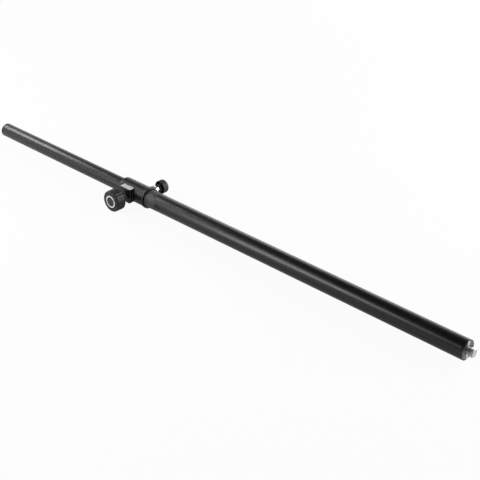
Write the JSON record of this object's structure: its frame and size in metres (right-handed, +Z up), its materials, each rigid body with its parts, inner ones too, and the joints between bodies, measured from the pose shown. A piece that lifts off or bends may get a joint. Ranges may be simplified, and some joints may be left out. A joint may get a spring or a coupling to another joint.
{
  "type": "telescopic speaker pole",
  "caption": "Telescopic speaker pole with a threaded stud at its foot, a sliding extension tube, a clamp knob and a sprung index pin on its collar.",
  "frame": {"origin": "centre of the threaded stud's flat end, on the pole's axis", "axes": "+X out of the stud along the pole's axis, so the extension tube points along -X; -Y out of the clamp knob; +Y out of the index pin; +Z up as the pole lies"},
  "size_m": [1.4644, 0.1468, 0.0528],
  "materials": {
    "black_paint": "smooth semi-gloss black powder coat",
    "satin_paint": "satin black powder coat",
    "black_casting": "die casting, coated semi-gloss black",
    "black_plastic": "moulded, fine matte grain",
    "grey_plastic": "moulded, smooth",
    "zinc_steel": "turned and zinc plated",
    "bright_steel": "bright turned steel",
    "chrome": "bright nickel and chrome plate"
  },
  "bodies": {
    "outer": {"outer_tube": "black_paint", "end_plug": "zinc_steel", "threaded_stud": "bright_steel", "plug_rivet_1": "black_paint", "plug_rivet_2": "black_paint", "plug_rivet_3": "black_paint", "collar": "black_casting", "collar_rivet_1": "black_paint", "collar_rivet_2": "black_paint", "guide_bush": "grey_plastic", "clamp_insert": "bright_steel", "pin_housing": "chrome", "pin_lock_nut": "chrome", "pin_spring": "bright_steel"},
    "extension": {"extension_tube": "satin_paint", "extension_bush": "grey_plastic", "bush_cross_pin": "bright_steel", "top_cap": "black_plastic"},
    "clamp_shoe": {"clamp_shoe": "grey_plastic"},
    "clamp_knob": {"clamp_screw": "bright_steel", "clamp_knob": "black_plastic", "knob_cover": "grey_plastic"},
    "index_pin": {"index_pin": "bright_steel", "pin_knob": "black_plastic"}
  },
  "joints": [
    {"name": "extension_slide", "type": "slide", "parent": "outer", "child": "extension", "axis": [1, 0, 0], "range_m": [0, 0.42]},
    {"name": "clamp_shoe_slide", "type": "slide", "parent": "outer", "child": "clamp_shoe", "axis": [0, -1, 0], "range_m": [0, 0.003]},
    {"name": "clamp_knob_turn", "type": "hinge", "parent": "clamp_shoe", "child": "clamp_knob", "pos_m": [-0.9494, 0, 0], "axis": [0, -1, 0], "range_deg": [0, 720]},
    {"name": "index_pin_pull", "type": "slide", "parent": "outer", "child": "index_pin", "axis": [0, 1, 0], "range_m": [-0.0035, 0.006], "stiffness_N_per_m": 900, "springref_m": -0.012, "deforming": ["pin_spring"]}
  ],
  "couplings": [
    {"joint": "clamp_shoe_slide", "follows": "clamp_knob_turn", "m_per_rad": 0.00023873}
  ]
}
